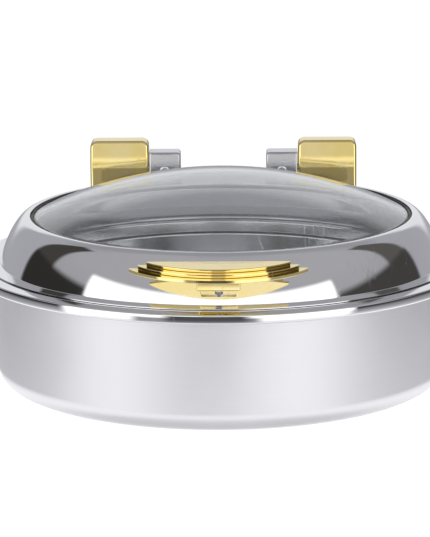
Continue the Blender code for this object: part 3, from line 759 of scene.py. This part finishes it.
cover_wall = 0.0015
cover_corner = 0.0062
cover_edge = 0.0026
crease_above_pin = 0.0046
face_lean = math.tan(math.radians(12))
for side, word in ((1, "right"), (-1, "left")):
    cover_low, cover_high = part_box("hinge_cover_" + word)
    pin_low, pin_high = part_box("hinge_pin_" + word)
    crease = (pin_low.z + pin_high.z) / 2 + crease_above_pin
    cover_xs = sorted((abs(cover_low.x), abs(cover_high.x)))
    cover = cap_block(
        "gold_cover_" + word, side, cover_xs, (cover_low.y, cover_high.y),
        (cover_low.z, cover_high.z), crease, (cover_corner, cover_corner), cover_edge, gold_plate)
    inside = cap_block(
        "cover_inside", side, (cover_xs[0] + cover_wall, cover_xs[1] - cover_wall),
        (cover_low.y + cover_wall, cover_high.y - cover_wall),
        (cover_low.z - 0.01, cover_high.z - cover_wall), crease,
        (cover_corner - cover_wall, cover_corner - cover_wall), cover_edge - cover_wall,
        gold_plate)
    pin_middle = (pin_low + pin_high) / 2
    notch = rod("cover_notch", Vector((side * 0.066, pin_middle.y, pin_middle.z)),
                Vector((side * 0.010, 0, 0)), 0.0046, gold_plate)
    screw_low, screw_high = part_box("cover_screw_" + word)
    screw_middle = (screw_low + screw_high) / 2
    screw_hole = rod("cover_screw_hole", Vector((screw_middle.x, cover_high.y - 0.006,
                                                 screw_middle.z)),
                     Vector((0, 0.010, 0)), 0.0019, gold_plate)
    cover = shaped(cover, ("DIFFERENCE", inside), ("DIFFERENCE", notch),
                   ("DIFFERENCE", screw_hole))
    even_shading(cover)
    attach(cover, "base")
    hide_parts("hinge_cover_" + word)


# ---------------------------------------------------------------------------------------------
# Screws: small stainless machine screws with a domed head and a hexagon socket, the covers'
# pair gold plated. Each head sits flat on its piece, and the threads are rolled into the shank.
# ---------------------------------------------------------------------------------------------
def screw(name, at, outward, head_r, head_h, shank_r, length, look):
    """A screw with its head's flat underside at the point at, the head facing outward."""
    bend = head_r * 0.42
    outline = [(0, head_h)]
    outline += [(head_r * math.sin(a) ** 0.9, head_h * math.cos(a) ** 0.75)
                for a in (math.radians(8 * i) for i in range(1, 11))]
    outline += [(head_r, head_h * 0.12), (head_r - 0.00015, 0), (shank_r, 0)]
    threads = int(length / 0.0007)
    for i in range(threads):
        outline += [(shank_r, -0.0007 * i - 0.00035), (shank_r - 0.0002, -0.0007 * i - 0.00060)]
    outline += [(shank_r - 0.0003, -length), (0, -length)]
    piece = spun(name, outline, look, segments=36, join_ends=False)
    socket = bmesh.new()
    bmesh.ops.create_cone(socket, cap_ends=True, segments=6, radius1=bend, radius2=bend,
                          depth=head_h * 1.2)
    bmesh.ops.translate(socket, vec=(0, 0, head_h), verts=socket.verts)
    mesh = bpy.data.meshes.new("hexagon_socket")
    socket.to_mesh(mesh)
    socket.free()
    piece = shaped(piece, ("DIFFERENCE", finished("hexagon_socket", mesh, look)))
    turn = Vector((0, 0, 1)).rotation_difference(outward.normalized()).to_matrix().to_4x4()
    piece.data.transform(Matrix.Translation(at) @ turn)
    return piece


# Head radius, head height and shank radius
pan_head = (0.0040, 0.0022, 0.0020)
cover_head = (0.0032, 0.0015, 0.0016)
set_head = (0.0046, 0.0012, 0.0020)
cover_screw_length = 0.0055
for word in ("right", "left"):
    low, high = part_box("cover_screw_" + word)
    head = screw("gold_screw_" + word, Vector(((low.x + high.x) / 2, high.y - 0.0015,
                                               (low.z + high.z) / 2)),
                 Vector((0, 1, 0)), *cover_head, cover_screw_length, gold_plate)
    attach(head, "base")
    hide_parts("cover_screw_" + word)


# ---------------------------------------------------------------------------------------------
# Food pan: a drawn steel insert, 385 mm across its flange, with a shoulder for stacking and
# a tapered wall. It stands on the rim's ledge and lifts out; its inside is satin finished.
# ---------------------------------------------------------------------------------------------
pan_low, pan_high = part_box("food_pan")
pan_sheet = 0.0008
flange_z = pan_high.z - pan_sheet
pan_r = pan_high.x
neck_r = 0.1820
foot_r = 0.1720

pan_steel, tree, sockets = metal("satin pan steel", (0.74, 0.74, 0.75), 0.14)
marks = use_group(tree, lathe_marks, Fineness=1100.0, Length=1.5)
hands = use_group(tree, hand_marks, Cloud_Size=8.0, Scratch_Size=20.0, Drop_Size=50.0)
join(tree, mixed(tree, blended(tree, (marks["Broad"], 0.6), (hands["Scratch"], 0.2)),
                 (0.72, 0.72, 0.73, 1), (0.79, 0.79, 0.80, 1)), sockets["Base Color"])
join(tree, blended(tree, (1.0, 0.12), (marks["Broad"], 0.02), (hands["Cloud"], 0.03),
                   (hands["Scratch"], 0.12), (hands["Drop"], 0.06)), sockets["Roughness"])
bumped(tree, blended(tree, (marks["Broad"], 1.0), (hands["Scratch"], -0.3)), 0.000004, sockets)

food_pan = spun(
    "food_pan_insert",
    sheet_outline(
        [(0.0, pan_low.z)]
        + eased([
            (0.08, pan_low.z, 0),
            (foot_r, pan_low.z, 0.0130),
            (neck_r - 0.0040, flange_z - 0.0120, 0.0012),
            (neck_r - 0.0010, flange_z - 0.0100, 0.0012),
            (neck_r, flange_z, 0.0010),
            (pan_r, flange_z, 0),
        ], 7),
        pan_sheet),
    pan_steel, join_ends=False)
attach(food_pan, "pan")
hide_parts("food_pan")


# ---------------------------------------------------------------------------------------------
# Lid ring: one deep drawn, mirror polished steel ring. A flat flange sits on the rim, the wall
# slopes up and in, a little bulged, to its crest, and a recess inside holds the window's seal.
# ---------------------------------------------------------------------------------------------
lid_low, lid_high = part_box("lid_ring")
lid_z = lid_low.z + sheet
lid_top = lid_high.z
lid_wall_h = lid_top - lid_z
lid_flange_r = 0.2087
lid_base_r = 0.1969
window_r = 0.1693
crest_r = 0.1713
lid_roundness = 2.20
cone_share = 0.50
glass_t = 0.0040
glass_edge_r = 0.1671
glass_edge_z = lid_top - 0.0022
glass_apex_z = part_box("lid_glass")[1].z
glass_rise = glass_apex_z - glass_edge_z
glass_sphere_r = (glass_edge_r ** 2 + glass_rise ** 2) / (2 * glass_rise)
glass_tilt = math.asin(glass_edge_r / glass_sphere_r)
seam = 0.0003


def by_glass(along, above):
    """A point by the glass edge: along its slope outwards, and square to its outer face."""
    return (glass_edge_r + along * math.cos(glass_tilt) + above * math.sin(glass_tilt),
            glass_edge_z - along * math.sin(glass_tilt) + above * math.cos(glass_tilt))


def lid_curve(outset=0.0, count=40, last=86.0):
    """The lid wall's outer face from its crest to its foot, moved outwards by outset."""
    width = lid_base_r - crest_r
    power = 2 / lid_roundness
    points = []
    for i in range(count + 1):
        turn = math.radians(90 - last * i / count)
        c, s = max(0.0, math.cos(turn)) ** power, math.sin(turn) ** power
        steep = (s / c) ** (lid_roundness - 1) if c > 1e-9 else 1e9
        facing = Vector((lid_wall_h, width * ((1 - cone_share) * steep + cone_share))).normalized()
        out = (1 - cone_share) * c + cone_share * (1 - s)
        points.append((crest_r + width * out + outset * facing.x,
                       lid_z + lid_wall_h * s + outset * facing.y))
    return points


seal_lip = 0.0010
seal_in_r, seal_in_z = by_glass(-0.0040, -glass_t - seam)
seal_low_z = by_glass(seam, -glass_t - seam)[1] - seal_lip
lid_shelf_z = seal_low_z - seam
lid_line = (
    eased([
        (seal_in_r, lid_shelf_z, 0),
        (window_r, lid_shelf_z, 0.0005),
        (window_r, lid_top - 0.0001, 0.0007),
        (crest_r, lid_top, 0),
    ], 5)
    + lid_curve(last=89.0)[1:]
    + eased([(*lid_curve(last=89.0)[-1], 0), (lid_base_r, lid_z, 0.0004),
             (lid_flange_r, lid_z, 0)], 4)[1:]
)
lid_ring = spun("polished_lid_ring", sheet_outline(lid_line[::-1], sheet), mirror_steel,
                segments=320)
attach(lid_ring, "lid")
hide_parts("lid_ring")


# ---------------------------------------------------------------------------------------------
# Window: a pressed dome of clear tempered glass, 4 mm thick and 334 mm across, held in a dark
# silicone channel. Only the channel's thin upper lip shows, as a black line round the glass.
# ---------------------------------------------------------------------------------------------
glass_look = bpy.data.materials.new("clear tempered glass")
glass_look.use_nodes = True
tree = glass_look.node_tree
sockets = tree.nodes["Principled BSDF"].inputs
sockets["Base Color"].default_value = (0.97, 0.985, 0.985, 1)
sockets["Metallic"].default_value = 0.0
sockets["Transmission Weight"].default_value = 1.0
sockets["IOR"].default_value = 1.52
hands = use_group(tree, hand_marks, Cloud_Size=16.0, Scratch_Size=30.0, Drop_Size=80.0)
join(tree, blended(tree, (hands["Cloud"], 0.012), (hands["Scratch"], 0.03),
                   (hands["Drop"], 0.03)), sockets["Roughness"])
glass_path = tree.nodes.new("ShaderNodeLightPath")
let_light_in = tree.nodes.new("ShaderNodeBsdfTransparent")
let_light_in.inputs["Color"].default_value = (0.92, 0.93, 0.93, 1)
glass_mix = tree.nodes.new("ShaderNodeMixShader")
tree.links.new(glass_path.outputs["Is Shadow Ray"], glass_mix.inputs[0])
tree.links.new(tree.nodes["Principled BSDF"].outputs[0], glass_mix.inputs[1])
tree.links.new(let_light_in.outputs[0], glass_mix.inputs[2])
tree.links.new(glass_mix.outputs[0], tree.nodes["Material Output"].inputs["Surface"])

dome_steps = 36
edge_ease = 0.0008
sphere_z = glass_apex_z - glass_sphere_r
outer_face = [
    (glass_sphere_r * math.sin(a), sphere_z + glass_sphere_r * math.cos(a))
    for a in (glass_tilt * i / dome_steps for i in range(dome_steps))
]
inner_face = [
    ((glass_sphere_r - glass_t) * math.sin(a), sphere_z + (glass_sphere_r - glass_t) * math.cos(a))
    for a in (glass_tilt * i / dome_steps for i in range(dome_steps - 1, -1, -1))
]
outer_face[0] = (0.0, outer_face[0][1])
inner_face[-1] = (0.0, inner_face[-1][1])
ground_edge = eased([
    (*outer_face[-1], 0), (*by_glass(0, 0), edge_ease), (*by_glass(0, -glass_t), edge_ease),
    (*inner_face[0], 0)], 4)[1:-1]
lid_glass = spun("glass_dome", outer_face + ground_edge + inner_face, glass_look,
                 segments=320, join_ends=False)
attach(lid_glass, "lid")
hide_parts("lid_glass")

seal_rubber = bpy.data.materials.new("dark silicone")
seal_rubber.use_nodes = True
tree = seal_rubber.node_tree
sockets = tree.nodes["Principled BSDF"].inputs
hands = use_group(tree, hand_marks, Cloud_Size=30.0, Scratch_Size=90.0)
worn = use_group(tree, edge_wear, Start=0.51, Full=0.57)
join(tree, mixed(tree, blended(tree, (hands["Cloud"], 0.5), (worn["Worn"], 0.4)),
                 (0.022, 0.022, 0.026, 1), (0.060, 0.060, 0.064, 1)), sockets["Base Color"])
join(tree, blended(tree, (1.0, 0.45), (hands["Cloud"], 0.15)), sockets["Roughness"])
bumped(tree, noise(tree, object_place(tree), 1500.0, 2.0), 0.00003, sockets)
seal_out_r = window_r - seam
seal = spun(
    "silicone_seal",
    eased([
        (seal_out_r, glass_edge_z, 0),
        (seal_out_r, seal_low_z, 0.0003),
        (seal_in_r, seal_low_z, 0.0003),
        (seal_in_r, seal_in_z, 0.0002),
        (*by_glass(seam, -glass_t - seam), 0),
        (*by_glass(seam, seam), 0),
        (*by_glass(-0.0012, seam), 0.0001),
        (*by_glass(-0.0012, seam + 0.0005), 0.0002),
        (seal_out_r, glass_edge_z + 0.0004, 0.0002),
        (seal_out_r, glass_edge_z + 0.0001, 0),
    ], 4),
    seal_rubber, segments=320, sharp=60.0)
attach(seal, "lid")
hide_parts("window_seal")


# ---------------------------------------------------------------------------------------------
# Lid arms: cast steel, bead blasted and tumbled. A squared knuckle turns on the hinge pin, a
# short bar runs forward, and a curved pad is screwed to the lid's back wall from inside.
# ---------------------------------------------------------------------------------------------
knuckle_w = 0.0301
knuckle_in = 0.0414
knuckle_corner = 0.0030
knuckle_edge = 0.0018
bar_w = 0.0220
bar_h = 0.0085
pad_t = 0.0020
pad_span = (0.0340, 0.1220)
pad_heights = (0.0160, 0.0385)
pin_r = 0.0040
pad_screw_xs = (0.0420, 0.0740, 0.1140)
pad_screw_height = 0.0360


def wall_at(height, outset=0.0):
    """Radius of the lid wall, and the outward slope there, height above its foot."""
    curve = lid_curve(outset, 200)
    for upper, lower in zip(curve, curve[1:]):
        if lower[1] <= lid_z + height <= upper[1]:
            share = (upper[1] - lid_z - height) / (upper[1] - lower[1])
            run = (Vector(lower) - Vector(upper)).normalized()
            return upper[0] + share * (lower[0] - upper[0]), -run.y, run.x
    raise ValueError("that height is not on the lid wall")


def filled_wall(name, outset, look):
    """The lid wall's outer form as a filled body, to cut other pieces to fit against it."""
    line = lid_curve(outset, 40)
    under = lid_z - 0.02
    return spun(name, [(0, line[0][1])] + line + [(line[-1][0], under), (0, under)], look,
                join_ends=False)


def wall_place(x, height, rear):
    """A point on the lid wall and the outward direction there, rear +1 or front -1."""
    radius, out, up = wall_at(height)
    y = rear * math.sqrt(radius ** 2 - x ** 2)
    return Vector((x, y, lid_z + height)), Vector((out * x / radius, out * y / radius, up))


def wall_plate(name, inner, outer, heights, span, rear, look):
    """A plate that follows the lid wall, cut to a box; its faces stand at two outsets."""
    band = spun(name, lid_curve(outer, 40) + lid_curve(inner, 40)[::-1], look, segments=256)
    ys = (0.05, 0.30) if rear > 0 else (-0.30, -0.05)
    trim = cuboid(name + "_trim", (span[0], ys[0], lid_z + heights[0]),
                  (span[1], ys[1], lid_z + heights[1]), look, 0.0040, 5,
                  lambda a, b: abs(a.x - b.x) < 1e-6 and abs(a.z - b.z) < 1e-6)
    return shaped(band, ("INTERSECT", trim))


for side, word in ((1, "right"), (-1, "left")):
    arm_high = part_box("lid_arm_" + word)[1]
    pin_low, pin_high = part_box("hinge_pin_" + word)
    pin_y, pin_z = (pin_low.y + pin_high.y) / 2, (pin_low.z + pin_high.z) / 2
    knuckle_front = pin_y - 0.0140
    knuckle_low = pin_z - 0.0150
    crease = pin_z + crease_above_pin
    arm = cap_block(
        "lid_arm_" + word + "_cast", side, (knuckle_in, knuckle_in + knuckle_w),
        (knuckle_front, arm_high.y), (knuckle_low, arm_high.z), crease,
        (knuckle_corner, 0.0005), knuckle_edge, satin_steel)
    middle_x = knuckle_in + knuckle_w / 2
    bar = cuboid(
        "arm_bar",
        *sides(side, (middle_x - bar_w / 2, 0.1800, knuckle_low + 0.0010),
               (middle_x + bar_w / 2, knuckle_front + 0.0060, knuckle_low + 0.0010 + bar_h)),
        satin_steel, 0.0016, 4, lambda a, b: abs(a.y - b.y) > 0.01)
    bar = shaped(bar, ("DIFFERENCE", filled_wall("wall_form", seam + pad_t / 2, satin_steel)))
    span = tuple(sorted((side * pad_span[0], side * pad_span[1])))
    pad = wall_plate("arm_pad", seam, seam + pad_t, pad_heights, span, 1, satin_steel)
    bore = rod("arm_bore", Vector((side * (knuckle_in - 0.01), pin_y, pin_z)),
               Vector((side * 0.05, 0, 0)), pin_r + seam, satin_steel)
    set_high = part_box("pin_screw_" + word)[1]
    set_spot = Vector((side * middle_x, knuckle_front - seam, pin_z))
    set_hole = rod("set_hole", set_spot - Vector((0, 0.002, 0)), Vector((0, 0.012, 0)),
                   0.0023, satin_steel)
    arm = shaped(arm, ("UNION", bar), ("UNION", pad), ("DIFFERENCE", bore),
                 ("DIFFERENCE", set_hole))
    even_shading(arm)
    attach(arm, "lid")
    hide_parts("lid_arm_" + word)

    pin = rod("hinge_shaft_" + word, Vector((side * 0.0420, pin_y, pin_z)),
              Vector((side * (pin_high.x - pin_low.x), 0, 0)), pin_r, satin_steel, 48, 0.0005)
    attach(pin, "lid")
    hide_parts("hinge_pin_" + word)

    set_screw = screw("set_screw_" + word, set_spot, Vector((0, -1, 0)), *set_head,
                      set_high.y - set_spot.y, satin_steel)
    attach(set_screw, "lid")
    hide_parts("pin_screw_" + word)

    for number, x in enumerate(pad_screw_xs, 1):
        spot_on_wall, outward = wall_place(side * x, pad_screw_height, 1)
        pad_screw = screw(
            f"pad_screw_{word}_{number}", spot_on_wall - outward * (sheet + seam / 2),
            -outward, *pan_head, sheet + seam + pad_t * 0.9, mirror_steel)
        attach(pad_screw, "lid")
        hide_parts(f"lid_arm_screw_{word}_{number}")


# ---------------------------------------------------------------------------------------------
# Handle: a gold plated grip, turned and milled as three stepped crescents, on a short post that
# follows the lid's wall. Two screws hold the post from inside, through a curved backing plate.
# ---------------------------------------------------------------------------------------------
grip_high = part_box("handle_grip")[1]
half_chords = (0.0593, 0.0664, 0.0735)
bulges = (0.0290, 0.0373, 0.0456)
layer_h = 0.0028
layer_edge = 0.0006
square_end = 0.0035
layer_overlap = 0.0011
tip_ease = 0.0010


def crescent_plate(name, half_chord, bulge, low_z, high_z, look):
    """A plate with a straight back, short square ends and a round front, its edges softened."""
    radius = (half_chord ** 2 + bulge ** 2) / (2 * bulge)
    sweep = math.asin(half_chord / radius)
    centre_y = grip_high.y - square_end - bulge + radius
    shape = bmesh.new()
    ring = []
    steps = 72
    for i in range(steps + 1):
        a = -sweep + 2 * sweep * i / steps
        ring.append(shape.verts.new((radius * math.sin(a), centre_y - radius * math.cos(a), low_z)))
    ring.append(shape.verts.new((half_chord, grip_high.y, low_z)))
    ring.append(shape.verts.new((-half_chord, grip_high.y, low_z)))
    bottom = shape.faces.new(ring)
    raised = bmesh.ops.extrude_face_region(shape, geom=[bottom])["geom"]
    bmesh.ops.translate(shape, vec=(0, 0, high_z - low_z),
                        verts=[v for v in raised if isinstance(v, bmesh.types.BMVert)])
    tips = [e for e in shape.edges if abs(e.verts[0].co.z - e.verts[1].co.z) > 1e-6
            and abs(abs(e.verts[0].co.x) - half_chord) < 1e-5]
    bmesh.ops.bevel(shape, geom=tips, offset=tip_ease, segments=5, profile=0.5, affect="EDGES")
    flat_edges = [e for e in shape.edges if e.calc_face_angle(0) > math.radians(60)]
    bmesh.ops.bevel(shape, geom=flat_edges, offset=layer_edge, segments=5, profile=0.5,
                    affect="EDGES")
    mesh = bpy.data.meshes.new(name)
    shape.to_mesh(mesh)
    shape.free()
    return finished(name, mesh, look)


layers = []
for number, (half_chord, bulge) in enumerate(zip(half_chords, bulges)):
    layer_top = grip_high.z - number * layer_h
    layers.append(crescent_plate(
        f"grip_layer_{number}" if number else "gold_grip", half_chord, bulge,
        layer_top - layer_h, layer_top + (layer_overlap if number else 0.0), gold_plate))
for number, layer in enumerate(layers[1:], 1):
    for vertex in layer.data.vertices:
        if vertex.co.z > grip_high.z - number * layer_h:
            vertex.co.z = min(vertex.co.z, grip_high.z - number * layer_h)
grip = shaped(layers[0], *[("UNION", layer) for layer in layers[1:]])
even_shading(grip)
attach(grip, "lid")
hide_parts("handle_grip")

post_low, post_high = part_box("handle_post")
post = cuboid("gold_post", (post_low.x, post_low.y, post_low.z),
              (post_high.x, -0.1550, post_high.z), gold_plate, 0.0014, 5,
              lambda a, b: min(a.y, b.y) < post_low.y + 1e-5 and abs(a.z - b.z) > 1e-5
              or max(a.z, b.z) < post_low.z + 1e-5)
post = shaped(post, ("DIFFERENCE", filled_wall("lid_form", seam, gold_plate)))
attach(post, "lid")
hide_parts("handle_post")

screw_x = 0.0100
screw_height = 0.0205
backing_t = 0.0015
backing = wall_plate(
    "backing_plate", -sheet - seam - backing_t, -sheet - seam,
    (screw_height - 0.0065, screw_height + 0.0065), (-screw_x - 0.0065, screw_x + 0.0065), -1,
    satin_steel)
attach(backing, "lid")
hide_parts("handle_backing_plate")

for side, word in ((1, "right"), (-1, "left")):
    spot_on_wall, outward = wall_place(side * screw_x, screw_height, -1)
    depth = sheet + backing_t + 2 * seam
    handle_screw = screw(
        "handle_bolt_" + word, spot_on_wall - outward * depth, -outward, *pan_head,
        depth + 0.0070, satin_steel)
    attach(handle_screw, "lid")
    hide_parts("handle_screw_" + word)

low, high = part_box("grip_screw")
under_screw = screw(
    "grip_bolt", Vector(((low.x + high.x) / 2, (low.y + high.y) / 2, low.z + pan_head[1])),
    Vector((0, 0, -1)), *pan_head, high.z - low.z - pan_head[1], satin_steel)
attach(under_screw, "lid")
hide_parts("grip_screw")
